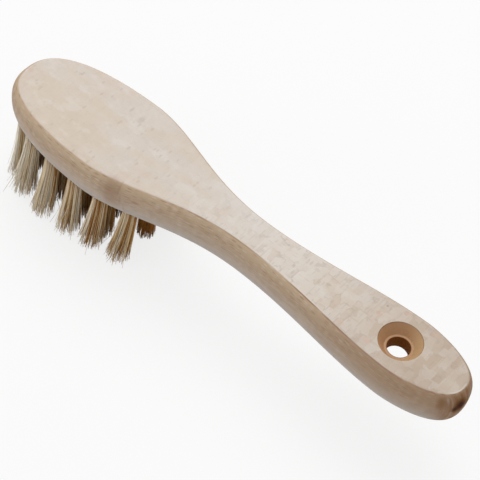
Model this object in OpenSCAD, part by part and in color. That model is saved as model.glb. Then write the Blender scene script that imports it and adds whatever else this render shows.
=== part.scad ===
// Hand vegetable brush: a one-piece beech block and handle, drilled with blind holes that
// each hold a tuft of natural bristle, folded round a flat wire anchor.
// X runs from the nose of the head to the end of the handle, Z is up, and the trimmed
// bristle tips stand on Z = 0. All sizes are in millimetres.

/* [Block] */
// Overall length, from the nose of the head to the end of the handle
block_l = 195; // [160:1:240]
// Thickness of the board that the block is cut from
block_t = 15; // [12:0.5:20]
// Distance from the nose to the widest place of the head
head_x = 45; // [36:1:54]
// Greatest width of the head
head_w = 41; // [34:0.5:50]
// Distance from the nose to the narrowest place of the neck
neck_x = 106; // [95:1:120]
// Width of the neck at its narrowest place
neck_w = 16.6; // [13:0.2:22]
// Distance from the widest place of the handle to its end
grip_back = 25; // [20:1:32]
// Greatest width of the handle
grip_w = 28; // [22:0.5:34]

/* [Outline curves] */
// How far the nose curve rises before it turns, as a share of the half width
nose_rise_k = 0.25; // [0.1:0.01:0.6]
// How far the nose curve reaches back from the widest place, as a share of that stretch
nose_side_k = 1; // [0.5:0.01:1]
// Reach of the curve behind the head
head_back_k = 0.3; // [0.2:0.01:0.6]
// Reach of the curve ahead of the neck
neck_front_k = 0.44; // [0.2:0.01:0.6]
// Reach of the curve behind the neck
neck_back_k = 0.38; // [0.2:0.01:0.6]
// Reach of the curve ahead of the widest place of the handle
grip_front_k = 0.31; // [0.2:0.01:0.6]
// Reach of the curve behind the widest place of the handle
grip_side_k = 0.06; // [0:0.01:0.6]
// How far the end curve rises before it turns, as a share of the half width
end_rise_k = 0.93; // [0.4:0.01:1]

/* [Rounded edges] */
// Depth that the upper edge is drawn in at the top face
top_round_in = 2.4; // [1:0.1:3]
// Height of the rounding below the top face
top_round_h = 5.6; // [3:0.2:6]
// Depth that the lower edge is drawn in at the underside
low_round_in = 2.4; // [1:0.1:3]
// Height of the rounding above the underside
low_round_h = 8.6; // [3:0.2:10]
// Further depth of the lower rounding under the nose, fading towards the handle
nose_cut_in = 2.6; // [0:0.1:3]

/* [Hang hole] */
// Diameter of the hole through the handle
hang_d = 8; // [5:0.5:10]
// Distance from the axis of the hole to the end of the handle
hang_back = 27.6; // [22:0.2:34]
// Diameter of the countersink at the top face
sink_d = 15; // [12:0.5:18]
// Depth of the countersink
sink_h = 3.5; // [2:0.1:4.5]
// Width of the flat step between the foot of the countersink and the hole
sink_step = 0.9; // [0:0.1:1.5]
// Diameter of the wider countersink at the underside
low_sink_d = 19; // [12:0.5:20]
// Depth of the countersink at the underside
low_sink_h = 6.3; // [2:0.1:7]

/* [Tuft holes] */
// Diameter of each blind hole
hole_d = 5.2; // [4.6:0.1:6]
// Depth of each blind hole to the shoulder of its drill point
hole_depth = 9; // [7:0.5:9.5]
// Distance from the nose to the first hole of the middle row
first_x = 6.3; // [5:0.1:8]
// Distance from the first hole to the second of the middle row
second_pitch = 8.4; // [8:0.2:12]
// Distance between the other holes of a row
hole_pitch = 11.6; // [9:0.2:12.6]
// How far the holes at the sides stand further back than those in the middle
column_bow = 2.3; // [0:0.1:4]
// Distance from the outer rows to the side of the head
edge_gap = 4.8; // [4:0.1:6]

/* [Anchors] */
// Thickness of the flat wire
anchor_t = 0.4; // [0.3:0.05:0.6]
// Height of the flat wire
anchor_h = 1.6; // [1.2:0.1:2]
// Depth that each end bites into the block beside its hole
anchor_bite = 0.5; // [0.3:0.05:0.8]
// Thickness of the bundle that folds over the anchor
fold_t = 2; // [1:0.1:2.5]

/* [Bristles] */
// Free length of the trimmed bristles below the block
bristle_l = 25; // [18:1:32]
// Strands in each tuft
strands = 18; // [8:1:19]
// Radius of the bundle of strands at the block
bundle_r = 2.1; // [1.8:0.05:2.1]
// Radius of the bundle at its tips
tip_r = 3.6; // [2.6:0.1:4]
// Sideways lean of the tips in the outer rows
lean_side = 3.8; // [0:0.1:4.4]
// Forward lean of the tips at the nose
lean_nose = 0.7; // [0:0.1:3.5]
// Chance lean of a whole tuft, to either side
lean_chance = 1.6; // [0:0.1:1.6]
// Radius of one strand at the block
strand_r = 0.4; // [0.25:0.01:0.4]
// Radius of one strand at its tip
strand_tip_r = 0.2; // [0.1:0.01:0.3]
// Shortfall of the most ragged strand from the trimmed plane
ragged = 2.4; // [0:0.1:4]
// Depth that the lowest tips are cut flat
trim_cut = 0.5; // [0:0.1:1]

/* [Hidden] */
$fn = 48;
// Clearance round a tuft root in its hole, and round an anchor in its slot
fit_gap = 0.05;
// How far a cutting shape runs past the face that it cuts
over = 1;
// Points along each of the four curves of one side
curve_n = 16;
// Steps in each rounded edge
round_n = 5;
// Power by which the extra rounding under the nose fades along the block
nose_fade = 4;
// Turn between one strand of a tuft and the next, which spreads them evenly
golden_turn = 137.508;
// How deep a strand is rooted in its bundle
strand_root = 0.6;
// Levels of one strand, from root to tip
strand_levels = [0, 0.45, 1];
// Power by which a strand curves outwards as it goes down
curl = 1.3;
// Holes in each row, from the -Y side to the +Y side, and the column that each row starts in
row_holes = [5, 5, 6, 5, 5];
row_start = [1, 0, 0, 0, 1];
// Seeds of the chance leans and of the ragged lengths
lean_seed = 46377;
ragged_seed = 7;

// Rows and columns are counted from 0, and the middle row has a hole in every column
rows = len(row_holes);
middle = (rows - 1) / 2;
columns = row_holes[middle];
// Heights of the underside and the top face of the block
under_z = bristle_l;
top_z = under_z + block_t;
// Middle of the length, which lies over the origin
mid_x = block_l / 2;
grip_x = block_l - grip_back;
hang_x = block_l - hang_back;
// The two roundings share the thickness, so the lower one stops below the upper one
low_h = min(low_round_h, block_t - top_round_h - 0.4);
// Depth of the drill point at the end of each blind hole
point_h = 0.3 * hole_d;
root_r = hole_d / 2 - fit_gap;
root_h = hole_depth - fit_gap;
anchor_l = hole_d + 2 * anchor_bite;
// Height of the lower edge of each anchor
anchor_z = under_z + hole_depth - fold_t - anchor_h;
// Middle of the field of tufts, and its half length and half width
field_l = (column_x(columns - 1) - first_x) / 2;
field_x = first_x + field_l;
field_w = head_w / 2 - edge_gap;

tuft_ids = [for (r = [0 : rows - 1]) for (i = [0 : row_holes[r] - 1]) [r, i]];

function tuft_name(id) = str("tuft_row", id[0] + 1, "_", id[1] + 1);

// A point at share t along a curve from a to d, drawn towards b and c
function curve_at(a, b, c, d, t) =
    a * pow(1 - t, 3) + 3 * b * t * pow(1 - t, 2) + 3 * c * pow(t, 2) * (1 - t) + d * pow(t, 3);

function curve(a, b, c, d) = [for (i = [0 : curve_n - 1]) curve_at(a, b, c, d, i / curve_n)];

// A curve that leaves a and reaches b along X
function waist(a, b, ka, kb) =
    let (run = b.x - a.x) curve(a, a + [ka * run, 0], b - [kb * run, 0], b);

// One side of the outline, from the nose to the end of the handle
nose = [0, 0];
head = [head_x, head_w / 2];
neck = [neck_x, neck_w / 2];
grip = [grip_x, grip_w / 2];
end = [block_l, 0];
side = concat(
    curve(nose, [0, nose_rise_k * head.y], head - [nose_side_k * head_x, 0], head),
    waist(head, neck, head_back_k, neck_front_k),
    waist(neck, grip, neck_back_k, grip_front_k),
    curve(grip, grip + [grip_side_k * grip_back, 0], [block_l, end_rise_k * grip.y], end),
    [end]
);
side_n = len(side) - 1;
ring_n = 2 * side_n;

// The whole outline, out along +Y and back along -Y, as a ring
outline = concat(side, [for (i = [side_n - 1 : -1 : 1]) [side[i].x, -side[i].y]]);

function unit(v) = v / norm(v);

// Outward direction at each point, square to the line between its neighbours
normals = [for (i = [0 : ring_n - 1])
    let (d = outline[(i + 1) % ring_n] - outline[(i + ring_n - 1) % ring_n]) unit([-d.y, d.x])];

function half_w(x) = lookup(x, side);

// Rounded edges: each level has its height, and how far it is drawn in at a distance x
low_levels = [for (i = [round_n : -1 : 0]) 90 * i / round_n];
top_levels = [for (i = [0 : round_n]) 90 * i / round_n];
function low_in(x) = low_round_in + nose_cut_in * pow(1 - x / block_l, nose_fade);

function ring(z, depth_at, a) = [for (i = [0 : ring_n - 1])
    let (p = outline[i] - depth_at(outline[i].x) * (1 - cos(a)) * normals[i]) [p.x, p.y, z]];

block_rings = concat(
    [for (a = low_levels) ring(low_h * (1 - sin(a)), function (x) low_in(x), a)],
    [for (a = top_levels) ring(block_t - top_round_h * (1 - sin(a)), function (x) top_round_in, a)]
);

// Triangles between the rings of points on a closed form, seen from outside
function wall_faces(rings, n) = [for (k = [0 : rings - 2]) for (i = [0 : n - 1])
    let (j = (i + 1) % n, low = k * n, high = low + n)
    each [[high + i, low + i, low + j], [high + i, low + j, high + j]]];

// Flat end of the block, in strips across it, so that its outline may curve both ways
function cap_strips(first) = [for (i = [0 : side_n - 1])
    let (far = ring_n - i)
    i == 0 ? [first, first + 1, first + far - 1]
    : i == side_n - 1 ? [first + i, first + i + 1, first + far]
    : [first + i, first + i + 1, first + far - 1, first + far]];

function turned(faces) = [for (f = faces) [for (i = [len(f) - 1 : -1 : 0]) f[i]]];

module block_body() {
    levels = len(block_rings);
    polyhedron(
        [for (r = block_rings) each r],
        concat(wall_faces(levels, ring_n), turned(cap_strips(0)), cap_strips((levels - 1) * ring_n))
    );
}

// Distance from the nose to a column of holes, where it crosses the middle row
function column_x(column) = first_x + (column == 0 ? 0 : second_pitch + hole_pitch * (column - 1));

// Place of one tuft hole on the underside: rows are evenly spread across the head, but the
// short column at the nose is drawn apart to the full width
function hole_at(id) =
    let (
        column = id[1] + row_start[id[0]],
        off = (id[0] - middle) / (column == 0 ? 1 : middle),
        x = column_x(column) + column_bow * pow(off, 2)
    ) [x, off * (half_w(x) - edge_gap)];

module at_holes() {
    for (id = tuft_ids) translate(hole_at(id)) children();
}

// The flat wire across a hole, or the slot for it when grown by a gap
module flat_wire(gap = 0) {
    translate([0, 0, anchor_z + anchor_h / 2])
        cube([anchor_l, anchor_t, anchor_h] + 2 * gap * [1, 1, 1], center = true);
}

module tuft_hole() {
    translate([0, 0, under_z - over]) cylinder(h = hole_depth + over, d = hole_d);
    translate([0, 0, under_z + hole_depth]) cylinder(h = point_h, d1 = hole_d, d2 = 0);
    flat_wire(fit_gap);
}

// A cone that has diameter foot_d at depth h, widens to d at the face, and runs on past it
module countersink(h, foot_d, d) {
    cylinder(h = h + over, d1 = foot_d, d2 = d + (d - foot_d) / h * over);
}

// The hole through the handle, countersunk from both faces
module hang_hole() {
    translate([hang_x, 0, 0]) {
        translate([0, 0, under_z - over]) cylinder(h = block_t + 2 * over, d = hang_d);
        translate([0, 0, top_z - sink_h]) countersink(sink_h, hang_d + 2 * sink_step, sink_d);
        translate([0, 0, under_z + low_sink_h]) mirror([0, 0, 1])
            countersink(low_sink_h, hang_d, low_sink_d);
    }
}

module handle_block() {
    color([0.85, 0.76, 0.67])
    translate([-mid_x, 0, 0])
    difference() {
        translate([0, 0, under_z]) block_body();
        at_holes() tuft_hole();
        hang_hole();
    }
}

module wire_anchors() {
    color("silver")
    translate([-mid_x, 0, 0])
    at_holes() flat_wire();
}

// The folded root of a tuft: a slice of the bundle that fills its hole round the anchor
module tuft_root() {
    difference() {
        translate([0, 0, under_z]) {
            cylinder(h = root_h, r = root_r);
            translate([0, 0, root_h]) cylinder(h = point_h - fit_gap, r1 = root_r, r2 = 0);
        }
        flat_wire(fit_gap);
    }
}

// Lean of a whole tuft at its tips: to the side in the outer rows, forwards near the nose,
// and by chance
function tuft_lean(id) =
    let (
        at = hole_at(id),
        ahead = max(0, field_x - at.x) / field_l,
        chance = rands(-lean_chance, lean_chance, 2, lean_seed + 10 * id[0] + id[1])
    ) [-lean_nose * pow(ahead, 2), lean_side * at.y / field_w] + chance;

// Middle of strand i at share u of the way down: the bundle spreads, leans and curls out
function strand_at(i, lean, u) =
    let (
        spread = (bundle_r - strand_r + (tip_r - bundle_r) * pow(u, curl)) * sqrt((i + 0.5) / strands),
        turn = golden_turn * i
    ) spread * [cos(turn), sin(turn)] + lean * pow(u, curl);

// One strand of three sides, from its root inside the bundle to a flat tip
module strand(i, lean, tip_z) {
    root_z = under_z + strand_root;
    points = [for (u = strand_levels) for (k = [0 : 2])
        let (
            at = strand_at(i, lean, u),
            r = strand_r + (strand_tip_r - strand_r) * u,
            turn = golden_turn * i + 120 * k
        ) [at.x + r * cos(turn), at.y + r * sin(turn), root_z + (tip_z - root_z) * u]];
    last = 3 * (len(strand_levels) - 1);
    polyhedron(
        points,
        concat(wall_faces(len(strand_levels), 3), [[0, 2, 1], [last, last + 1, last + 2]])
    );
}

module tuft(id) {
    lean = tuft_lean(id);
    drawn = rands(0, ragged + trim_cut, strands, ragged_seed + 10 * id[0] + id[1]);
    color([0.80, 0.73, 0.60])
    translate([-mid_x, 0, 0])
    translate(hole_at(id))
    union() {
        tuft_root();
        for (i = [0 : strands - 1]) strand(i, lean, max(0, drawn[i] - trim_cut));
    }
}

handle_block();
wire_anchors();
for (id = tuft_ids) tuft(id);
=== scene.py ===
"""Looks of a wooden hand vegetable brush, built round its packed frame.

X runs from the nose of the head to the end of the handle, Z is up, and lengths are in metres.
"""

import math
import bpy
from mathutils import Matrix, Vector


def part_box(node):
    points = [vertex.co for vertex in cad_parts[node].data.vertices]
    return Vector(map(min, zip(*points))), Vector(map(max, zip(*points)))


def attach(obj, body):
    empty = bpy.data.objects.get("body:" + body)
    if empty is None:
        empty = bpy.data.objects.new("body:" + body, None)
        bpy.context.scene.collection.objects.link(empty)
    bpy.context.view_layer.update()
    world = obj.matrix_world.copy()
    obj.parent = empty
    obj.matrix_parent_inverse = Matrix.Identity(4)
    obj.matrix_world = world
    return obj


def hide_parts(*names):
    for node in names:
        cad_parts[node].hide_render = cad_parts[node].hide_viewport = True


bl_info = {
    "name": "Vegetable Brush",
    "version": (1, 0, 0),
    "blender": (4, 5, 0),
    "location": "View3D > Sidebar > Brush",
    "description": "Turned beech block, set tufts of natural bristle and a studio stage",
    "category": "Add Mesh",
}

import bmesh
import bpy
import numpy as np
from bpy.props import FloatProperty, FloatVectorProperty, IntProperty, PointerProperty
from bpy.types import Operator, Panel, PropertyGroup
from mathutils import Matrix, Vector

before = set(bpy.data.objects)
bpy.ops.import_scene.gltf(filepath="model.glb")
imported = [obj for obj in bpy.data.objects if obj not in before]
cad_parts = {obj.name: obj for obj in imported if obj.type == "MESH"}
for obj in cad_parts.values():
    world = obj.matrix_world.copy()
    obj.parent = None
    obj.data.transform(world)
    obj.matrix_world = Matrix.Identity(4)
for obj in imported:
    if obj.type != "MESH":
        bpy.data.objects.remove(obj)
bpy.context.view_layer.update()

MM = 0.001
GOLDEN_TURN = math.radians(137.508)
BLOCK_LOW, BLOCK_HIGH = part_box("handle_block")
TUFT_NODES = sorted(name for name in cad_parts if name.startswith("tuft_row"))
OUTER_ROWS = (1, 5)
MIDDLE_ROW = 3
TUFT_SEED = 4100

# Places across a flat end of the block, from edge to edge
CAP_STRIPS = (0, 0.012, 0.2, 0.4, 0.6, 0.8, 0.988, 1)
# Least height of the straight side between the two roundings
STRAIGHT_SIDE = 0.4 * MM
# Height of the point of a blind hole, as a share of its radius
DRILL_POINT = 0.6
# Flats round a tuft hole and round the hang hole
HOLE_FLATS = 32
HANG_FLATS = 96

# Chance in a fibre's place at the root, pull to its lock, thickness and greatest shortfall, each
# as a share of its setting
ROOT_SCATTER = 0.035
LOCK_PULLS = (0.5, 1.2)
FIBRE_WIDTHS = (0.75, 1.2)
MOST_RAGGED = 6
# Unevenness of the cut at the tips
TRIM = 0.4 * MM
# Straying: its greatest chance value, the share of wild fibres, and how far wild and tame ones go
MOST_STRAY = 1.8
WILD_SHARE = 0.18
WILD = 2.3
TAME = 0.5
# Spread of the tone from lock to lock and from fibre to fibre
LOCK_TONES = 0.16
FIBRE_TONES = 0.27
# How much of the straying, raggedness and spread of tone the inner tufts have
INNER_CHANCE = 0.4
INNER_TONES = 0.35
# Root of an inner tuft at the nose: its radius and its shift, as shares of the root radius
NOSE_ROOT = 0.8
NOSE_SHIFT = 0.2

# Middle of the knot in the end of the handle
KNOT = (96.6 * MM, -2.6 * MM, 34.6 * MM)
# Marks of the wood that have a place: centre and spread in mm, colour and strength
MARKS = (
    # Knot and growth lines in the end of the handle
    ((96.4, -2.6, 35.0), (5.0, 3.6, 4.4), "end_grain", 0.6),
    ((96.6, -2.6, 35.0), (4.2, 3.4, 4.2), "knot", 0.95),
    ((95.6, -4.6, 33.8), (3.0, 1.6, 2.2), "knot", 0.8),
    ((96.0, -0.6, 37.5), (3.0, 2.6, 3.0), "end_grain", 0.5),
    ((92.4, -7.6, 36.6), (2.6, 2.2, 4.4), "end_grain", 0.75),
    # Painted highlight: a pale band down a crease in the handle's end
    ((93.7, -6.3, 35.5), (1.2, 0.7, 5.0), "painted_light_grey", 0.75),
    # Dark growth with its arc, and red stains, on the side of the head
    ((-39.2, -17.6, 34.5), (6.0, 5.0, 9.0), "dash", 0.6),
    ((-36.6, -17.0, 37.5), (0.6, 5.0, 3.5), "dash", 0.4),
    ((-35.6, -17.0, 33.5), (0.6, 5.0, 3.5), "dash", 0.35),
    ((-34.3, -17.0, 29.5), (0.6, 5.0, 3.5), "dash", 0.3),
    ((-30.2, -15.9, 35.0), (2.3, 3.0, 0.9), "stain", 0.6),
    ((-33.0, -16.6, 33.8), (1.4, 3.0, 0.5), "stain", 0.4),
    # Pink and grey spots in the face
    ((58.5, 3.5, 40), (1.6, 1.2, 2), "blush", 0.55),
    ((51.4, -8.0, 40), (2.0, 1.2, 2), "blush", 0.45),
    ((62.1, -7.8, 40), (2.4, 1.4, 2), "blush", 0.4),
    ((65.2, 10.2, 40), (0.9, 0.9, 2), "blush", 0.8),
    ((76.7, 10.0, 40), (2.4, 1.2, 2), "blush", 0.35),
    ((58.5, 8.0, 40), (0.7, 0.7, 2), "dash", 0.5),
    ((-93.8, -1.0, 40), (1.6, 1.6, 3), "blush", 0.45),
    ((-61.9, 16.6, 40), (2.2, 1.6, 2), "blush", 0.3),
    ((-56.6, 10.9, 40), (0.8, 2.0, 2), "line", 0.35),
    ((-51.1, 9.7, 40), (1.6, 2.6, 2), "line", 0.25),
    ((-80.4, 10.3, 40), (1.2, 0.8, 2), "line", 0.3),
)


def size(name, default, description):
    """A length that a user may change, shown in the scene's own unit."""
    return FloatProperty(name=name, description=description, default=default, subtype="DISTANCE")


def share(name, default, description):
    """A plain ratio that a user may change."""
    return FloatProperty(name=name, description=description, default=default)


def count(name, default, description):
    """A whole number of at least one."""
    return IntProperty(name=name, description=description, default=default, min=1)


def angle(name, default, description):
    """An angle, given here in degrees."""
    return FloatProperty(name=name, description=description, default=math.radians(default), subtype="ANGLE")


def power(name, default, description):
    """The power of a lamp in watts."""
    return FloatProperty(name=name, description=description, default=default, unit="POWER")


def position(name, default, description):
    """A place in space."""
    return FloatVectorProperty(name=name, description=description, default=default, subtype="TRANSLATION")


def colour(name, default, description):
    """A colour in linear red, green and blue."""
    return FloatVectorProperty(
        name=name, description=description, default=default, subtype="COLOR", size=3, min=0, max=1
    )


class BrushBlock(PropertyGroup):
    """Outline, rounded edges and bores of the block, as the frame has them."""

    head_x: size("Head place", 45 * MM, "From the nose to the widest place of the head")
    head_w: size("Head width", 41 * MM, "Greatest width of the head")
    neck_x: size("Neck place", 106 * MM, "From the nose to the narrowest place of the neck")
    neck_w: size("Neck width", 16.6 * MM, "Width of the neck at its narrowest place")
    grip_back: size("Grip place", 25 * MM, "From the widest place of the handle to its end")
    grip_w: size("Grip width", 28 * MM, "Greatest width of the handle")
    nose_rise: share("Nose rise", 0.25, "How far the nose curve rises, as a share of the half width")
    head_back: share("Head back", 0.3, "Reach of the curve behind the head")
    neck_front: share("Neck front", 0.44, "Reach of the curve ahead of the neck")
    neck_back: share("Neck back", 0.38, "Reach of the curve behind the neck")
    grip_front: share("Grip front", 0.31, "Reach of the curve ahead of the grip's widest place")
    grip_side: share("Grip side", 0.06, "Reach of the curve behind the grip's widest place")
    end_rise: share("End rise", 0.93, "How far the end curve rises, as a share of the half width")
    top_in: size("Top rounding, depth", 2.9 * MM, "How far the upper edge is drawn in")
    top_h: size("Top rounding, height", 5.6 * MM, "Height of the upper rounding")
    low_in: size("Low rounding, depth", 2.4 * MM, "How far the lower edge is drawn in")
    low_h: size("Low rounding, height", 8.6 * MM, "Height of the lower rounding")
    nose_cut: size("Nose cut", 2.6 * MM, "Further depth of the lower rounding under the nose")
    hang_back: size("Hang hole place", 27.6 * MM, "From the axis of the hang hole to the end")
    hang_r: size("Hang hole radius", 4 * MM, "Radius of the hang hole")
    sink_r: size("Countersink radius", 7.5 * MM, "Radius of the countersink at the top face")
    sink_h: size("Countersink depth", 3.5 * MM, "Depth of the countersink at the top face")
    sink_step: size("Countersink step", 0.9 * MM, "Width of the step at the countersink's foot")
    low_sink_r: size("Lower countersink radius", 9.5 * MM, "Radius of the countersink underneath")
    low_sink_h: size("Lower countersink depth", 6.3 * MM, "Depth of the countersink underneath")
    rim: size("Rim", 0.25 * MM, "Radius that each bore's rim is sanded to")
    hole_r: size("Tuft hole radius", 2.6 * MM, "Radius of each blind hole for a tuft")
    hole_h: size("Tuft hole depth", 9 * MM, "Depth of each blind hole")
    crease: angle("Crease", 28, "Edges sharper than this stay crisp")


class BrushWood(PropertyGroup):
    """Colours of the beech."""

    pale: colour("Pale", (0.655, 0.583, 0.518), "Pale wood of the sanded face")
    warm: colour("Warm", (0.642, 0.545, 0.444), "Warmer clouds in the face")
    # Painted shade: the face darkens and warms towards the end of the handle
    shaded_end_face: colour("End of the face", (0.480, 0.375, 0.285), "Face of the handle near its end")
    glint: colour("Glint", (0.730, 0.690, 0.645), "Rays that catch the light")
    line: colour("Line", (0.400, 0.320, 0.260), "Thin edges between the rays of the face")
    blush: colour("Blush", (0.640, 0.430, 0.340), "Pink and orange spots in the face")
    # Partly painted shade: the side is darker than the face, partly as its tangential grain
    side: colour("Side", (0.462, 0.337, 0.232), "Side of the board, where the rays end")
    # Painted shade: the side darkens towards the end of the handle
    shaded_end_side: colour("End of the side", (0.358, 0.238, 0.148), "Side of the handle near its end")
    # Painted bounce light from the floor greys the lower rounding; also a painted highlight down a crease in
    # the handle's end
    painted_light_grey: colour("Lower rounding", (0.458, 0.424, 0.395), "Greyer wood of the lower rounding")
    # Painted highlight: a pale line along the handle's upper edge, and pale glints on the side
    rim: colour("Rim", (0.730, 0.680, 0.610), "Pale line along the upper edge of the handle")
    # Painted light: the head's upper rounding, facing partly up, is lighter and yellower than the side
    glow: colour("Glow", (0.520, 0.385, 0.255), "Yellow wood of the upper rounding of the head")
    dash: colour("Dash", (0.300, 0.180, 0.110), "Short dashes along the side")
    end_grain: colour("End grain", (0.215, 0.098, 0.028), "End grain at the nose and the handle's end")
    knot: colour("Knot", (0.045, 0.012, 0.006), "Knot in the handle's end and its crack")
    stain: colour("Stain", (0.330, 0.150, 0.110), "Small red heart stains")
    bored: colour("Bored wood", (0.452, 0.246, 0.120), "Cut wood of the countersinks")
    # Painted light: the countersink wall that faces the nose, towards the key lamp, is paler
    lit_bored: colour("Pale bored wood", (0.530, 0.335, 0.170), "Cut wood on the side towards the end")
    # Darker wood in the bore
    bore_dark: colour("Burnt wood", (0.195, 0.056, 0.002), "Wood that the drill has scorched in the bore")


class BrushTufts(PropertyGroup):
    """Fibres of each tuft."""

    fibres: count("Fibres", 260, "Fibre ends in each tuft")
    levels: count("Levels", 6, "Rings of points along each fibre")
    clumps: count("Clumps", 14, "Locks that the fibres of a tuft gather into")
    clump_pull: share("Clump pull", 0.42, "How far a fibre is drawn to the middle of its lock")
    root_r: size("Root radius", 2.5 * MM, "Radius of the bundle at the block")
    tip_r: size("Tip radius", 3.5 * MM, "Radius of the bundle at its tips")
    splay: size("Splay", 0.9 * MM, "How much wider the tips of the outer rows are")
    curl: share("Curl", 1.3, "Power by which a fibre turns outwards as it goes down")
    fibre_r: size("Fibre radius", 0.17 * MM, "Radius of a fibre at the block")
    fibre_tip_r: size("Fibre tip radius", 0.075 * MM, "Radius of a fibre at its tip")
    ragged: size("Ragged", 1.4 * MM, "Mean shortfall of a fibre from the trimmed plane")
    stray: size("Stray", 0.7 * MM, "How far a fibre strays from its place at the tip")
    rooted: size("Rooted", 2 * MM, "How far the fibres are drawn inside their hole")
    # Painted shade: each tuft is browner on its side towards the handle
    painted_back_shade: share("Back tone", 0.2, "How much browner a tuft is on its side towards the handle")
    outer_tone: share("Outer tone", 0.96, "Tone of the edge tufts, from brown at 0 to bleached at 1")
    tone_fall: share("Tone fall", 0.11, "Share of its tone that an edge tuft loses for its place in the row")
    # Partly darker fibre and partly painted shade between the tufts: inner tufts are browner, more so
    # further back and in the middle row
    inner_tone: share("Inner tone", 0.2, "Tone of the inner tufts")
    inner_fall: share("Inner fall", 0.14, "Share of its tone that an inner tuft loses for its place")
    between_tone: share("Between tone", 0.17, "Tone that the rows beside the middle row have more")
    nose_lean: size("Nose lean", 3.2 * MM, "How far the inner tufts at the nose lean back")
    pale: colour("Pale fibre", (0.930, 0.860, 0.730), "Bleached fibres")
    blond: colour("Blond fibre", (0.840, 0.700, 0.480), "Most of the fibres")
    tan: colour("Tan fibre", (0.590, 0.370, 0.140), "Golden tan fibres")
    # Partly darker fibre and partly painted shade, on the inner rows
    brown: colour("Brown fibre", (0.380, 0.150, 0.024), "Dark fibres of the inner rows")


class BrushStage(PropertyGroup):
    """Camera, lamps and floor."""

    aim: position("Aim", (7.03 * MM, -5.83 * MM, 40 * MM), "Point at the middle of the picture")
    distance: size("Distance", 556.9 * MM, "From the aim to the camera")
    azimuth: angle("Azimuth", 31.81, "Turn about Z")
    elevation: angle("Elevation", 51.75, "Height above level")
    roll: angle("Roll", 10.73, "Turn about the line of sight")
    lens: FloatProperty(name="Lens", description="Focal length", default=126.64, unit="CAMERA")
    floor_colour: colour("Floor", (0.86, 0.86, 0.86), "Plain pale floor")
    floor_reach: size("Floor reach", 4.0, "From the middle of the floor to each side")
    floor_gap: size("Floor gap", 0.1 * MM, "How far the floor lies below the tips")
    soft_white: share("Soft white", 0.78, "How much of the floor the camera sees as plain white")
    sky: share("Sky", 0.62, "Strength of the even light from all round")
    key_power: power("Key power", 9.5, "Power of the key lamp")
    key_size: size("Key size", 1.1, "Side of the square key lamp")
    key_place: position("Key place", (-0.45, 0.55, 1.25), "Place of the key lamp, above and behind")
    fill_power: power("Fill power", 1.4, "Power of the low lamp")
    fill_size: size("Fill size", 0.4, "Side of the square low lamp")
    fill_place: position("Fill place", (-0.75, -0.85, 0.22), "Place of the low lamp, in front of the tufts")


def curve(a, b, c, d, steps):
    """A cubic curve from a to d, drawn towards b and c: the usual four weighted points."""
    t = (np.arange(steps) / steps)[:, None]
    a, b, c, d = (np.asarray(p, float) for p in (a, b, c, d))
    return a * (1 - t) ** 3 + 3 * b * t * (1 - t) ** 2 + 3 * c * t**2 * (1 - t) + d * t**3


def waist(a, b, reach_a, reach_b, steps):
    """A curve that leaves a and reaches b along X."""
    run = b[0] - a[0]
    return curve(a, (a[0] + reach_a * run, a[1]), (b[0] - reach_b * run, b[1]), b, steps)


def half_outline(s, length, steps=44):
    """One side of the block's outline, in four curves from the nose to the end of the handle."""
    head = (s.head_x, s.head_w / 2)
    neck = (s.neck_x, s.neck_w / 2)
    grip = (length - s.grip_back, s.grip_w / 2)
    end = (length, 0.0)
    past_grip = (grip[0] + s.grip_side * s.grip_back, grip[1])
    before_end = (length, s.end_rise * grip[1])
    return np.concatenate(
        [
            curve((0, 0), (0, s.nose_rise * head[1]), (0, head[1]), head, steps),
            waist(head, neck, s.head_back, s.neck_front, steps),
            waist(neck, grip, s.neck_back, s.grip_front, steps),
            curve(grip, past_grip, before_end, end, steps),
            [end],
        ]
    )


def block_rings(s, length, thick, steps=14, fade=4):
    """Rings of the block from its underside to its top face, as an array of levels by points by 3.

    Each ring is the outline, drawn in against its outward direction. The depth and the height
    both follow a quarter of an ellipse. The lower depth grows towards the nose, as the power
    fade of what is left of the length.
    """
    side = half_outline(s, length)
    outline = np.concatenate([side, side[-2:0:-1] * (1, -1)])
    along = np.roll(outline, -1, axis=0) - np.roll(outline, 1, axis=0)
    outward = np.stack([-along[:, 1], along[:, 0]], axis=1)
    outward /= np.linalg.norm(outward, axis=1)[:, None]
    turn = np.linspace(0, math.pi / 2, steps + 1)[:, None]
    low_h = min(s.low_h, thick - s.top_h - STRAIGHT_SIDE)
    low_in = s.low_in + s.nose_cut * (1 - outline[:, 0] / length) ** fade
    top_in = np.full_like(low_in, s.top_in)
    drawn_in = np.concatenate([(1 - np.cos(turn[::-1])) * low_in, (1 - np.cos(turn)) * top_in])
    heights = np.concatenate([low_h * (1 - np.sin(turn[::-1])), thick - s.top_h * (1 - np.sin(turn))])
    flat = outline[None] - drawn_in[..., None] * outward[None]
    rise = np.broadcast_to(heights[..., None], flat.shape[:2] + (1,))
    return np.concatenate([flat, rise], axis=2)


def cap_grid(ring):
    """A flat end as a grid of strips across it, with narrow strips beside the edge to keep it flat."""
    half = len(ring) // 2
    left = ring[: half + 1]
    right = ring[-np.arange(half + 1) % len(ring)]
    across = np.array(CAP_STRIPS)[None, :, None]
    return left[:, None] + (right - left)[:, None] * across


def grid_faces(rows, columns, closed=False, first=0):
    """Quads between neighbouring points of a grid. A closed grid joins its last column to its first."""
    r = np.arange(rows - 1)[:, None]
    c = np.arange(columns if closed else columns - 1)[None, :]
    beside = (c + 1) % columns
    here, after = r * columns, (r + 1) * columns
    quads = np.stack([here + c, here + beside, after + beside, after + c], axis=-1)
    return quads.reshape(-1, 4) + first


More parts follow.
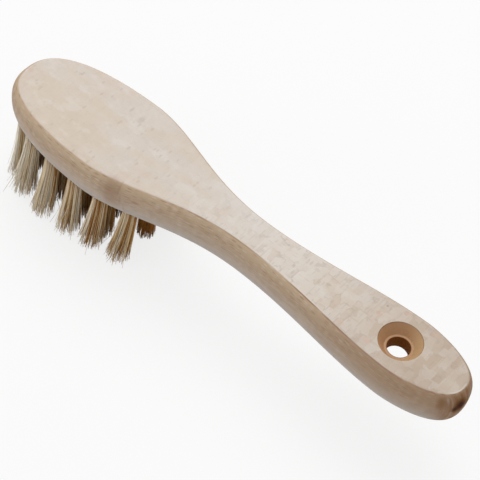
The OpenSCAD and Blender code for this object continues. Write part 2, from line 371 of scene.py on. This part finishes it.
def joined(grids):
    """Points and faces of several grids as one mesh. Each grid comes with whether it is closed."""
    points, faces, first = [], [], 0
    for grid, closed in grids:
        points.append(grid.reshape(-1, 3))
        faces.append(grid_faces(*grid.shape[:2], closed=closed, first=first))
        first += len(points[-1])
    return np.concatenate(points), np.concatenate(faces).tolist()


def add_piece(name, points, faces):
    """A new object at the origin, with its place in its mesh."""
    mesh = bpy.data.meshes.new(name)
    mesh.from_pydata(points.reshape(-1, 3).tolist(), [], faces)
    piece = bpy.data.objects.new(name, mesh)
    bpy.context.scene.collection.objects.link(piece)
    return piece


def weld(piece, gap=1e-6):
    """Joins points that lie together, drops faces of no area and turns every face outwards."""
    work = bmesh.new()
    work.from_mesh(piece.data)
    bmesh.ops.remove_doubles(work, verts=work.verts, dist=gap)
    bmesh.ops.dissolve_degenerate(work, edges=work.edges, dist=gap / 10)
    bmesh.ops.recalc_face_normals(work, faces=work.faces)
    work.to_mesh(piece.data)
    work.free()


def smooth(mesh):
    """Smooth shading on every face."""
    mesh.polygons.foreach_set("use_smooth", np.ones(len(mesh.polygons), bool))


def turned(profile, centres, around):
    """A profile of radii and heights carried round an upright axis at each centre.

    The radius goes round as its cosine and sine. The result is an array of centres by profile
    points by steps around by 3.
    """
    turn = np.arange(around) * 2 * math.pi / around
    circle = np.stack([np.cos(turn), np.sin(turn), np.zeros(around)], axis=1)
    radius, height = np.asarray(profile, float).T
    ring = radius[:, None, None] * circle + np.array([0, 0, 1]) * height[:, None, None]
    return np.asarray(centres, float)[:, None, None, :] + ring[None]


def sanded_rim(radius, height, rim, up, steps=5):
    """Points of a quarter round that opens a bore of this radius at a face of this height."""
    turn = np.linspace(0, math.pi / 2, steps + 1)
    return [(radius + rim * (1 - math.cos(a)), height - up * rim * (1 - math.sin(a))) for a in turn]


def tuft_place(node, inside=1 * MM, low_part=0.2):
    """Root and tip centre of a CAD tuft, from its own points inside the block and near its tips."""
    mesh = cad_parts[node].data
    points = np.zeros(len(mesh.vertices) * 3)
    mesh.vertices.foreach_get("co", points)
    points = points.reshape(-1, 3)
    high = points[points[:, 2] > BLOCK_LOW.z + inside]
    low = points[points[:, 2] < BLOCK_LOW.z * low_part]
    return (high.min(0) + high.max(0))[:2] / 2, (low.min(0) + low.max(0))[:2] / 2


def drill_bits(s, length, thick, over=1 * MM):
    """Solids that are cut out of the block: one for each tuft hole, and the hang hole's."""
    centres = np.array([(*tuft_place(node)[0], BLOCK_LOW.z) for node in TUFT_NODES])
    mouth = sanded_rim(s.hole_r, 0, s.rim / 2, -1)
    point = (0, s.hole_h + DRILL_POINT * s.hole_r)
    blind = [(0, -over), (mouth[-1][0], -over), *mouth[::-1], (s.hole_r, s.hole_h), point]
    top_rim = sanded_rim(s.sink_r, thick, s.rim, 1)
    low_rim = sanded_rim(s.low_sink_r, 0, s.rim, -1)
    through = [
        (0, -over),
        (low_rim[-1][0], -over),
        *low_rim[::-1],
        (s.hang_r, s.low_sink_h),
        (s.hang_r, thick - s.sink_h),
        (s.hang_r + s.sink_step, thick - s.sink_h),
        *top_rim,
        (top_rim[-1][0], thick + over),
        (0, thick + over),
    ]
    hang = [(BLOCK_HIGH.x - s.hang_back, 0, BLOCK_LOW.z)]
    bits = [*turned(blind, centres, HOLE_FLATS), *turned(through, hang, HANG_FLATS)]
    return joined([(bit, True) for bit in bits])


def cut(piece, tool):
    """Takes the tool's solids out of the piece and removes the tool."""
    step = piece.modifiers.new("Drill", "BOOLEAN")
    step.operation = "DIFFERENCE"
    step.solver = "EXACT"
    step.object = tool
    shaped = piece.evaluated_get(bpy.context.evaluated_depsgraph_get())
    mesh = bpy.data.meshes.new_from_object(shaped)
    piece.modifiers.clear()
    piece.data = mesh
    bpy.data.objects.remove(tool)


class Nodes:
    """Short ways to add nodes to a new material or world."""

    def __init__(self, owner, shader="Principled BSDF"):
        owner.use_nodes = True
        self.owner = owner
        self.tree = owner.node_tree
        self.shader = self.tree.nodes[shader]

    def add(self, kind, **settings):
        """A node of this kind with its settings."""
        new = self.tree.nodes.new(kind)
        for key, value in settings.items():
            setattr(new, key, value)
        return new

    def join(self, source, socket):
        """Links an output to a socket, or sets the socket's own value."""
        if isinstance(source, bpy.types.NodeSocket):
            self.tree.links.new(source, socket)
        else:
            socket.default_value = source

    def sum(self, operation, a, b=0.0, clamp=False):
        """One sum on numbers."""
        new = self.add("ShaderNodeMath", operation=operation, use_clamp=clamp)
        self.join(a, new.inputs[0])
        self.join(b, new.inputs[1])
        return new.outputs[0]

    def times(self, first, *others):
        """Numbers multiplied together."""
        for other in others:
            first = self.sum("MULTIPLY", first, other)
        return first

    def step(self, value, low, high, to_low=0.0, to_high=1.0):
        """A number that goes smoothly from to_low to to_high while value goes from low to high."""
        new = self.add("ShaderNodeMapRange", interpolation_type="SMOOTHSTEP")
        for socket, source in zip(new.inputs, (value, low, high, to_low, to_high)):
            self.join(source, socket)
        return new.outputs[0]

    def mix(self, factor, a, b):
        """Two colours mixed by a factor."""
        new = self.add("ShaderNodeMix", data_type="RGBA")
        self.join(factor, new.inputs["Factor"])
        for source, socket in ((a, new.inputs[6]), (b, new.inputs[7])):
            self.join(source if isinstance(source, bpy.types.NodeSocket) else (*source, 1), socket)
        return new.outputs[2]

    def parts(self, vector):
        """The three numbers of a vector, by the names of their axes."""
        new = self.add("ShaderNodeSeparateXYZ")
        self.join(vector, new.inputs[0])
        return new.outputs

    def length(self, vector):
        """The length of a vector."""
        new = self.add("ShaderNodeVectorMath", operation="LENGTH")
        self.join(vector, new.inputs[0])
        return new.outputs["Value"]

    def stretch(self, vector, scale, place=(0, 0, 0)):
        """The vector from a place, scaled along each axis."""
        new = self.add("ShaderNodeMapping", vector_type="POINT")
        self.join(vector, new.inputs["Vector"])
        new.inputs["Location"].default_value = [-p * k for p, k in zip(place, scale)]
        new.inputs["Scale"].default_value = scale
        return new.outputs[0]

    def noise(self, vector, scale, place=(0, 0, 0), detail=2, rough=0.5):
        """A soft number about 0.5. The scale is in waves per metre, for noise and cells alike."""
        new = self.add("ShaderNodeTexNoise")
        self.join(self.stretch(vector, scale, place), new.inputs["Vector"])
        new.inputs["Scale"].default_value = 1
        new.inputs["Detail"].default_value = detail
        new.inputs["Roughness"].default_value = rough
        return new.outputs["Fac"]

    def voronoi(self, vector, feature="F1", metric="EUCLIDEAN", random=1.0):
        """A pattern of cells."""
        new = self.add("ShaderNodeTexVoronoi", voronoi_dimensions="3D", feature=feature, distance=metric)
        self.join(vector, new.inputs["Vector"])
        new.inputs["Scale"].default_value = 1
        new.inputs["Randomness"].default_value = random
        return new.outputs

    def red(self, colour):
        """The red of a colour, which serves as a chance number for each cell."""
        new = self.add("ShaderNodeSeparateColor")
        self.join(colour, new.inputs[0])
        return new.outputs[0]

    def cells(self, vector, scale, chance, place=(0, 0, 0), edge=0.55):
        """Scattered spots: a chance share of the cells, each fading towards its rim."""
        cell = self.voronoi(self.stretch(vector, scale, place))
        chosen = self.step(self.red(cell["Color"]), 1 - chance, 1 - chance * 0.6)
        return self.times(chosen, self.step(cell["Distance"], edge, edge * 0.4))

    def tiles(self, vector, scale, uneven=0.75):
        """Uneven bricks: a tone for each brick, and 1 along the joints between them."""
        stretched = self.stretch(vector, scale)
        near = self.voronoi(stretched, "F1", "CHEBYCHEV", uneven)
        far = self.voronoi(stretched, "F2", "CHEBYCHEV", uneven)
        apart = self.sum("SUBTRACT", far["Distance"], near["Distance"])
        return self.red(near["Color"]), self.step(apart, 0.12, 0.02)

    def mark(self, vector, centre, spread, soft=0.5):
        """A round or long mark at one place: 1 inside, falling to 0 at its spread."""
        return self.step(self.length(self.stretch(vector, [1 / k for k in spread], centre)), 1, soft)


class Beech(Nodes):
    """Layers of bare sanded beech, as sums on the object's own coordinates and directions.

    Rays lie across the face as pale bricks and end as dashes on the sides. Colours follow the
    way that the surface faces, partly as painted light and shade: the side is darker, the head's
    upper rounding lighter and yellower, and the lower rounding greyer from painted floor light.
    Towards the end of the handle the wood darkens and warms as painted shade.
    """

    def __init__(self, s, block):
        super().__init__(bpy.data.materials.new("beech"))
        self.s = s
        coords = self.add("ShaderNodeTexCoord")
        here = coords.outputs["Object"]
        self.here = here
        self.x = self.parts(here)["X"]
        facing = self.parts(coords.outputs["Normal"])
        self.facing_x = facing["X"]
        self.up = facing["Z"]

        flat = self.sum("ABSOLUTE", self.up)
        self.level = self.step(flat, 0.85, 0.97)
        self.near = self.step(facing["Y"], 0.3, -0.1)
        # Where the surface turns from level the side colour takes over, partly as painted shade
        self.sideways = self.step(self.sum("SUBTRACT", flat, self.times(self.near, 0.1)), 0.885, 0.74)
        # Ramp of the painted shade towards the end of the handle
        self.end_shade_ramp = self.step(self.x, 25 * MM, 90 * MM)
        self.handle = self.step(self.x, -30 * MM, 30 * MM, 0.25, 1)

        self.clouds = self.noise(here, (26, 75, 60), detail=3)
        self.streaks = self.noise(here, (14, 900, 420), rough=0.6)
        self.fine = self.noise(here, (900, 2600, 3200))
        self.dashes = self.cells(here, (330, 250, 3300), 0.45)
        self.tone, joints = self.tiles(here, (380, 190, 0))
        broken = self.step(self.noise(here, (260, 330, 0), (0.2, 0, 0)), 0.46, 0.62)
        self.joint = self.times(joints, broken, self.handle)

        from_hole = self.length(self.stretch(here, (1, 1, 0), (BLOCK_HIGH.x - block.hang_back, 0, 0)))
        self.recess = self.step(from_hole, block.sink_r + 0.1 * MM, block.sink_r - 0.2 * MM)
        self.bore = self.step(from_hole, block.hang_r + 0.25 * MM, block.hang_r + 0.02 * MM)

    def face(self):
        """Pale face: clouds and patches on the head, bricks, joints and dashes on the handle, a painted
        sheen round the neck and painted shade towards the end.
        """
        s, here, x = self.s, self.here, self.x
        broad = self.noise(here, (60, 110, 90), (0.5, 0.1, 0))
        patches = self.noise(here, (130, 210, 0), (0.7, 0.2, 0), detail=3)
        across = self.cells(here, (1300, 170, 0), 0.3)
        along = self.cells(here, (330, 1700, 0), 0.12, (0.1, 0.3, 0))
        flecks = self.cells(here, (900, 420, 900), 0.09, (0.1, 0.4, 0.2))
        neck = self.times(self.step(x, -30 * MM, 5 * MM), self.step(x, 60 * MM, 20 * MM))
        dash = self.times(self.sum("ADD", across, along, clamp=True), self.handle)

        wood = self.mix(self.step(self.clouds, 0.36, 0.66), s.pale, s.warm)
        # Painted sheen: the face turns whiter round the neck
        wood = self.mix(self.times(neck, 0.5), wood, s.glint)
        wood = self.mix(self.step(broad, 0.5, 0.75, 0, 0.16), wood, s.blush)
        wood = self.mix(self.step(patches, 0.52, 0.66, 0, 0.3), wood, s.glint)
        # Painted shade: a darker, warmer face towards the end of the handle
        wood = self.mix(self.times(self.end_shade_ramp, self.step(broad, 0.2, 0.75, 0.6, 1)), wood, s.shaded_end_face)
        wood = self.mix(self.times(self.handle, self.step(self.tone, 0, 1, 0, 0.24)), wood, s.glint)
        wood = self.mix(self.times(self.handle, self.step(self.tone, 0.6, 0, 0, 0.14)), wood, s.side)
        wood = self.mix(self.times(self.joint, 0.32), wood, s.line)
        wood = self.mix(self.times(dash, 0.22), wood, s.line)
        return self.mix(self.times(flecks, 0.26), wood, s.line)

    def side(self):
        """Darker side, partly as painted shade: streaks and dashes, painted light that turns the head's
        upper rounding yellow, painted glints, painted shade towards the end, and painted bounce light that
        turns it grey below.
        """
        s = self.s
        glints = self.cells(self.here, (360, 260, 2700), 0.4, (0.3, 0.2, 0.1))
        above = self.times(self.step(self.up, 0.1, 0.6, 0, 0.7), self.step(self.end_shade_ramp, 0.6, 0))
        # Painted shade: a darker side towards the end of the handle
        wood = self.mix(self.end_shade_ramp, s.side, s.shaded_end_side)
        wood = self.mix(self.step(self.streaks, 0.42, 0.7, 0, 0.3), wood, s.dash)
        # Painted light on the head's upper rounding, fading towards the end of the handle
        wood = self.mix(above, wood, s.glow)
        wood = self.mix(self.times(self.dashes, 0.6), wood, s.dash)
        # Painted glints in the rim colour, fewer towards the end of the handle
        wood = self.mix(self.times(glints, self.step(self.end_shade_ramp, 0, 1, 0.25, 0.1)), wood, s.rim)
        # Painted bounce light from the floor: the lower rounding turns grey
        return self.mix(self.step(self.up, 0.15, -0.4, 0, 0.85), wood, s.painted_light_grey)

    def edges(self, wood):
        """A pale painted highlight along the near upper edge of the handle, and a dark line below it."""
        s, up, near = self.s, self.up, self.near
        # Painted highlight along the near upper edge of the handle
        pale = self.times(self.step(up, 0.9, 0.96), self.step(up, 0.999, 0.985), near)
        pale = self.times(pale, self.step(self.clouds, 0.4, 0.6), self.step(self.x, 0, 50 * MM, 0, 0.65))
        dark = self.times(self.step(up, 0.78, 0.86), self.step(up, 0.94, 0.9), near)
        dark = self.times(dark, self.step(self.streaks, 0.35, 0.6), self.step(self.x, -30 * MM, 0, 0, 0.9))
        return self.mix(dark, self.mix(pale, wood, s.rim), s.dash)

    def end_grain(self, wood):
        """Bands of end grain where the block faces along X, and fine specks all over."""
        s = self.s
        bands = self.noise(self.here, (0, 620, 0))
        grain = self.mix(self.step(bands, 0.35, 0.65), s.end_grain, s.dash)
        grain = self.mix(self.step(bands, 0.6, 0.72, 0, 0.7), grain, s.side)
        ahead = self.step(self.sum("ABSOLUTE", self.facing_x), 0.36, 0.8)
        wood = self.mix(self.times(ahead, self.step(self.x, -50 * MM, 50 * MM, 0.3, 0.95)), wood, grain)
        return self.mix(self.times(self.step(self.fine, 0.55, 0.8), 0.14), wood, s.dash)

    def marks(self, wood):
        """Knot, growth lines, stains and spots, each at its own place."""
        for centre, spread, tint, strength in MARKS:
            mark = self.mark(self.here, [v * MM for v in centre], [v * MM for v in spread], 0.2)
            wood = self.mix(self.times(mark, strength), wood, getattr(self.s, tint))
        return wood

    def bores(self, wood):
        """Cut wood in the countersinks, paler as painted light on the wall that faces the nose, and darker
        wood in the bore.
        """
        s = self.s
        # Painted light: paler cut wood on the wall that faces the nose
        wall = self.mix(self.step(self.facing_x, 0.3, -0.6), s.bored, s.lit_bored)
        wood = self.mix(self.times(self.recess, 0.9), wood, wall)
        # Darker wood in the bore
        return self.mix(self.times(self.bore, 0.9), wood, s.bore_dark)

    def surface(self):
        """Fine relief, roughness that follows the streaks, and hardly any shine in bore and knot."""
        relief = self.sum("SUBTRACT", self.times(self.fine, 0.5), self.times(self.joint, self.level, 0.3))
        relief = self.sum("SUBTRACT", relief, self.times(self.dashes, self.sideways, 0.4))
        bump = self.add("ShaderNodeBump")
        bump.inputs["Strength"].default_value = 0.25
        bump.inputs["Distance"].default_value = 0.1 * MM
        self.join(relief, bump.inputs["Height"])
        self.join(bump.outputs[0], self.shader.inputs["Normal"])
        self.join(self.step(self.streaks, 0.3, 0.7, 0.52, 0.68), self.shader.inputs["Roughness"])
        dull = self.sum("ADD", self.bore, self.mark(self.here, KNOT, [5 * MM] * 3), clamp=True)
        self.join(self.step(dull, 0, 1, 0.3, 0.02), self.shader.inputs["Specular IOR Level"])


def beech(s, block):
    """The wood of the block, layer over layer."""
    n = Beech(s, block)
    wood = n.mix(n.sideways, n.face(), n.side())
    wood = n.edges(wood)
    wood = n.end_grain(wood)
    wood = n.marks(wood)
    wood = n.bores(wood)
    n.join(wood, n.shader.inputs["Base Color"])
    n.surface()
    return n.owner


def bristle(s):
    """Natural fibre: each has a tone of its own, is darker at its root and has fine streaks."""
    n = Nodes(bpy.data.materials.new("bristle"))
    tone = n.add("ShaderNodeAttribute", attribute_name="tone").outputs["Fac"]
    down = n.add("ShaderNodeAttribute", attribute_name="down").outputs["Fac"]
    here = n.add("ShaderNodeTexCoord").outputs["Object"]
    fibre = n.mix(n.step(tone, 0.05, 0.3), s.brown, s.tan)
    fibre = n.mix(n.step(tone, 0.25, 0.5), fibre, s.blond)
    fibre = n.mix(n.step(tone, 0.65, 1.0), fibre, s.pale)
    streaks = n.noise(here, (2600, 2600, 160))
    fibre = n.mix(n.step(streaks, 0.45, 0.75, 0, 0.3), fibre, s.tan)
    fibre = n.mix(n.step(down, 0.35, 0.0, 0, 0.3), fibre, s.brown)
    n.join(fibre, n.shader.inputs["Base Color"])
    n.join(n.step(streaks, 0.3, 0.7, 0.42, 0.6), n.shader.inputs["Roughness"])
    n.join(n.step(tone, 0.15, 0.5, 0.06, 0.3), n.shader.inputs["Specular IOR Level"])
    return n.owner


def drawn_wire():
    """Bright flat wire with fine lines along its length."""
    n = Nodes(bpy.data.materials.new("anchor_wire"))
    here = n.add("ShaderNodeTexCoord").outputs["Object"]
    lines = n.noise(here, (200, 9000, 9000))
    n.join(n.mix(lines, (0.52, 0.52, 0.53), (0.68, 0.68, 0.69)), n.shader.inputs["Base Color"])
    n.join(n.step(lines, 0.3, 0.7, 0.25, 0.42), n.shader.inputs["Roughness"])
    n.shader.inputs["Metallic"].default_value = 1
    return n.owner


def golden_disc(points, first_turn=0.0):
    """Points that fill a disc of radius 1 evenly, each a golden turn on from the last."""
    number = np.arange(points)
    turn = number * GOLDEN_TURN + first_turn
    reach = np.sqrt((number + 0.5) / points)
    return reach[:, None] * np.stack([np.cos(turn), np.sin(turn)], axis=1)


def fibres(s, node, rng):
    """Points of all fibres of one tuft, as fibres by levels by 3 sides by 3, and each one's tone.

    A fibre starts at its own place in a disc. On its way down the disc grows from the root radius
    to the tip radius as a power of the way, moves by the tuft's lean as the same power, and the
    fibre is drawn towards the middle of its lock. The tufts of the outer rows and at the nose are
    the edge tufts, which are paler and wilder. The inner tufts are browner, partly as darker fibre
    and partly as painted shade between the tufts, and each tuft is browner on its side towards the
    handle as painted shade.
    """
    root, tip = tuft_place(node)
    row, place_in_row = (int(word) for word in node.removeprefix("tuft_row").split("_"))
    outer = row in OUTER_ROWS
    at_edge = outer or place_in_row == 1
    chance = 1 if at_edge else INNER_CHANCE
    tip_r = s.tip_r + s.splay * outer
    root_r = s.root_r
    if at_edge and not outer:
        root = root + (NOSE_SHIFT * root_r, 0)
        tip = tip + (s.nose_lean, 0)
        root_r *= NOSE_ROOT
    disc = golden_disc(s.fibres)
    disc += rng.normal(0, ROOT_SCATTER, disc.shape)
    locks = golden_disc(s.clumps, rng.uniform(0, math.tau))
    nearest = ((disc[:, None] - locks[None]) ** 2).sum(-1).argmin(1)

    way = np.linspace(0, 1, s.levels)[None, :, None]
    bend = way**s.curl
    pull = s.clump_pull * rng.uniform(*LOCK_PULLS, s.fibres)[:, None, None]
    place = disc[:, None] + (locks[nearest] - disc)[:, None] * pull * way
    radius = root_r + (tip_r - root_r) * bend
    stray = np.clip(rng.normal(0, 1, (s.fibres, 2)), -MOST_STRAY, MOST_STRAY)
    stray *= np.where(rng.random(s.fibres) < WILD_SHARE, WILD, TAME)[:, None] * chance
    middle = root + place * radius + (tip - root) * bend + s.stray * stray[:, None] * way**3

    top = BLOCK_LOW.z + s.rooted
    short = np.minimum(rng.exponential(s.ragged, s.fibres), MOST_RAGGED * s.ragged) * chance
    short += rng.uniform(0, TRIM, s.fibres)
    height = top - (top - short[:, None]) * way[..., 0]
    corner = np.arange(3) * math.tau / 3 + np.arange(s.fibres)[:, None] * GOLDEN_TURN
    thick = s.fibre_r + (s.fibre_tip_r - s.fibre_r) * way**2
    thick = thick * rng.uniform(*FIBRE_WIDTHS, s.fibres)[:, None, None]
    points = np.empty((s.fibres, s.levels, 3, 3))
    points[..., 0] = middle[..., None, 0] + thick * np.cos(corner)[:, None]
    points[..., 1] = middle[..., None, 1] + thick * np.sin(corner)[:, None]
    points[..., 2] = height[..., None]

    # Partly darker fibre and partly painted shade: inner tufts take a low tone, lower further back and in
    # the middle row
    if at_edge:
        middle_tone = s.outer_tone * (1 - s.tone_fall * place_in_row)
        spread = 1
    else:
        middle_tone = s.inner_tone * (1 - s.inner_fall * place_in_row)
        middle_tone += s.between_tone * (row != MIDDLE_ROW)
        spread = INNER_TONES
    lock_tone = rng.normal(0, LOCK_TONES, s.clumps)[nearest]
    own_tone = rng.normal(0, FIBRE_TONES, s.fibres)
    # Painted shade: fibres on a tuft's side towards the handle get a lower tone
    tone = middle_tone + spread * (lock_tone + own_tone - s.painted_back_shade * disc[:, 0])
    return points, np.clip(tone, 0, 1)


def fibre_faces(fibre_count, levels):
    """Walls and both ends of every fibre, turned outwards."""
    wall = grid_faces(levels, 3, closed=True)
    top = np.array([0, 1, 2])
    low = np.array([2, 1, 0]) + 3 * (levels - 1)
    first = (np.arange(fibre_count) * 3 * levels)[:, None, None]
    walls = (wall[None, :, ::-1] + first).reshape(-1, 4)
    tips = (np.stack([top, low])[None] + first).reshape(-1, 3)
    return walls.tolist() + tips.tolist()


class BRUSH_OT_block(Operator):
    """Makes the beech block with its rounded edges and its bores"""

    bl_idname = "brush.block"
    bl_label = "Beech block"

    def execute(self, context):
        s = context.scene.brush_block
        length = BLOCK_HIGH.x - BLOCK_LOW.x
        thick = BLOCK_HIGH.z - BLOCK_LOW.z
        rings = block_rings(s, length, thick) + np.array([BLOCK_LOW.x, 0, BLOCK_LOW.z])
        walls_and_ends = ((rings, True), (cap_grid(rings[0]), False), (cap_grid(rings[-1]), False))
        piece = add_piece("beech_block", *joined(walls_and_ends))
        weld(piece)
        tool = add_piece("drill", *drill_bits(s, length, thick))
        weld(tool)
        cut(piece, tool)
        smooth(piece.data)
        piece.data.set_sharp_from_angle(angle=s.crease)
        piece.data.materials.clear()
        piece.data.materials.append(beech(context.scene.brush_wood, s))
        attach(piece, "root")
        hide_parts("handle_block")
        return {"FINISHED"}


class BRUSH_OT_tufts(Operator):
    """Makes the fibres of every tuft"""

    bl_idname = "brush.tufts"
    bl_label = "Bristle tufts"

    def execute(self, context):
        s = context.scene.brush_tufts
        material = bristle(s)
        faces = fibre_faces(s.fibres, s.levels)
        way = np.repeat(np.linspace(0, 1, s.levels), 3)
        for number, node in enumerate(TUFT_NODES):
            points, tone = fibres(s, node, np.random.default_rng(TUFT_SEED + number))
            piece = add_piece(node.replace("tuft", "bristles"), points, faces)
            for key, values in (("tone", np.repeat(tone, 3 * s.levels)), ("down", np.tile(way, s.fibres))):
                attribute = piece.data.attributes.new(key, "FLOAT", "POINT")
                attribute.data.foreach_set("value", values.astype(np.float32))
            smooth(piece.data)
            piece.data.materials.append(material)
            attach(piece, "root")
            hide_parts(node)
        return {"FINISHED"}


class BRUSH_OT_anchors(Operator):
    """Gives the wire anchors in the tuft holes their drawn finish"""

    bl_idname = "brush.anchors"
    bl_label = "Wire anchors"

    def execute(self, context):
        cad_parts["wire_anchors"].material_slots[0].material = drawn_wire()
        return {"FINISHED"}


class BRUSH_OT_stage(Operator):
    """Sets the camera, the lamps and a plain pale floor"""

    bl_idname = "brush.stage"
    bl_label = "Stage"

    def execute(self, context):
        s = context.scene.brush_stage
        self.add_camera(context, s)
        self.add_floor(context, s)
        self.add_light(context, s)
        context.scene.view_settings.view_transform = "Standard"
        return {"FINISHED"}

    @staticmethod
    def add_camera(context, s):
        """The camera looks from its azimuth and elevation at the aim, then rolls."""
        flat = math.cos(s.elevation)
        back = Vector((math.sin(s.azimuth) * flat, -math.cos(s.azimuth) * flat, math.sin(s.elevation)))
        data = bpy.data.cameras.new("camera")
        data.lens = s.lens
        data.sensor_width = 36
        camera = bpy.data.objects.new("camera", data)
        context.scene.collection.objects.link(camera)
        turn = back.to_track_quat("Z", "Y").to_matrix() @ Matrix.Rotation(s.roll, 3, "Z")
        camera.matrix_world = Matrix.Translation(Vector(s.aim) + back * s.distance) @ turn.to_4x4()
        context.scene.camera = camera

    @staticmethod
    def add_floor(context, s):
        """A wide floor under the tips, which the camera sees partly as plain white."""
        corners = np.array([(-1, -1), (1, -1), (1, 1), (-1, 1)]) * s.floor_reach
        points = np.column_stack([corners, np.full(4, -s.floor_gap)])
        floor = add_piece("floor", points, [[0, 1, 2, 3]])
        n = Nodes(bpy.data.materials.new("floor"))
        n.shader.inputs["Base Color"].default_value = (*s.floor_colour, 1)
        n.shader.inputs["Roughness"].default_value = 0.8
        n.shader.inputs["Specular IOR Level"].default_value = 0.1
        glow = n.add("ShaderNodeEmission")
        blend = n.add("ShaderNodeMixShader")
        n.join(n.times(seen(n), s.soft_white), blend.inputs[0])
        n.join(n.shader.outputs[0], blend.inputs[1])
        n.join(glow.outputs[0], blend.inputs[2])
        n.join(blend.outputs[0], n.tree.nodes["Material Output"].inputs[0])
        floor.data.materials.append(n.owner)

    @staticmethod
    def add_light(context, s):
        """Even light from all round, a big soft lamp above and behind, and a low one at the front."""
        n = Nodes(bpy.data.worlds.new("studio"), "Background")
        n.shader.inputs["Color"].default_value = (1, 1, 1, 1)
        n.join(n.step(seen(n), 0, 1, s.sky, 1), n.shader.inputs["Strength"])
        context.scene.world = n.owner
        for name, energy, side, place in (
            ("key", s.key_power, s.key_size, s.key_place),
            ("fill", s.fill_power, s.fill_size, s.fill_place),
        ):
            data = bpy.data.lights.new(name, "AREA")
            data.shape = "SQUARE"
            data.size = side
            data.energy = energy
            lamp = bpy.data.objects.new(name, data)
            lamp.location = place
            lamp.rotation_euler = Vector(place).to_track_quat("Z", "Y").to_euler()
            context.scene.collection.objects.link(lamp)


def seen(n):
    """1 for a ray that the camera sends, also by way of gloss or glass, and 0 for any other."""
    path = n.add("ShaderNodeLightPath")
    total = n.sum("ADD", path.outputs["Is Camera Ray"], path.outputs["Is Glossy Ray"])
    return n.sum("ADD", total, path.outputs["Is Transmission Ray"], clamp=True)


class BRUSH_PT_panel(Panel):
    """Lists the pieces of the brush and their settings"""

    bl_idname = "BRUSH_PT_panel"
    bl_label = "Vegetable brush"
    bl_space_type = "VIEW_3D"
    bl_region_type = "UI"
    bl_category = "Brush"

    def draw(self, context):
        for operator in OPERATORS:
            self.layout.operator(operator.bl_idname)
        for key, group in SETTINGS.items():
            box = self.layout.box()
            box.label(text=group.__doc__)
            for name in group.__annotations__:
                box.prop(getattr(context.scene, key), name)


SETTINGS = {
    "brush_block": BrushBlock,
    "brush_wood": BrushWood,
    "brush_tufts": BrushTufts,
    "brush_stage": BrushStage,
}
OPERATORS = (BRUSH_OT_block, BRUSH_OT_tufts, BRUSH_OT_anchors, BRUSH_OT_stage)


def register():
    for group in SETTINGS.values():
        bpy.utils.register_class(group)
    for key, group in SETTINGS.items():
        setattr(bpy.types.Scene, key, PointerProperty(type=group))
    for made in (*OPERATORS, BRUSH_PT_panel):
        bpy.utils.register_class(made)


def unregister():
    for made in (BRUSH_PT_panel, *reversed(OPERATORS)):
        bpy.utils.unregister_class(made)
    for key in SETTINGS:
        delattr(bpy.types.Scene, key)
    for group in reversed(SETTINGS.values()):
        bpy.utils.unregister_class(group)


def main():
    """Registers the add-on, makes every piece and sets the stage."""
    register()
    bpy.ops.brush.block()
    bpy.ops.brush.tufts()
    bpy.ops.brush.anchors()
    bpy.ops.brush.stage()


if __name__ == "__main__":
    main()
